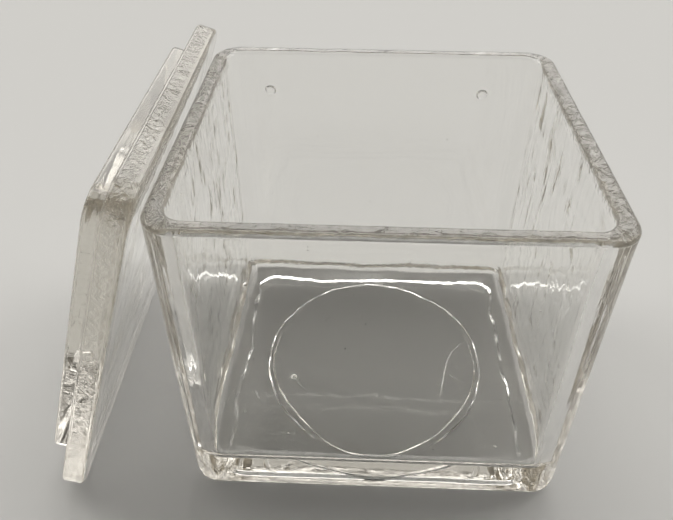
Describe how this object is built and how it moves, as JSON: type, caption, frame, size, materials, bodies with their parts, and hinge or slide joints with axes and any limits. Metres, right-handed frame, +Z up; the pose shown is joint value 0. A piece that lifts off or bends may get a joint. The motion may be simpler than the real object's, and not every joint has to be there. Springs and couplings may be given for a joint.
{
  "type": "slide staining jar",
  "caption": "Clear pressed-glass box for staining microscope slides, open at the top, with a thick floor and a rounded rim; its loose plug-stepped glass lid leans on the left side.",
  "frame": {"origin": "centre of the jar's underside, on the surface it stands on", "axes": "+Z up, +X across the wide side to the right, +Y from the front to the back; the lid stands to the left, on -X, turned 0.6 degrees about +Z"},
  "size_m": [0.138, 0.0952, 0.0994],
  "materials": {
    "pressed_glass": "clear soda-lime glass, pressed and fire-polished, faintly wavy"
  },
  "bodies": {
    "root": {"jar": "pressed_glass", "lid": "pressed_glass"}
  },
  "joints": []
}
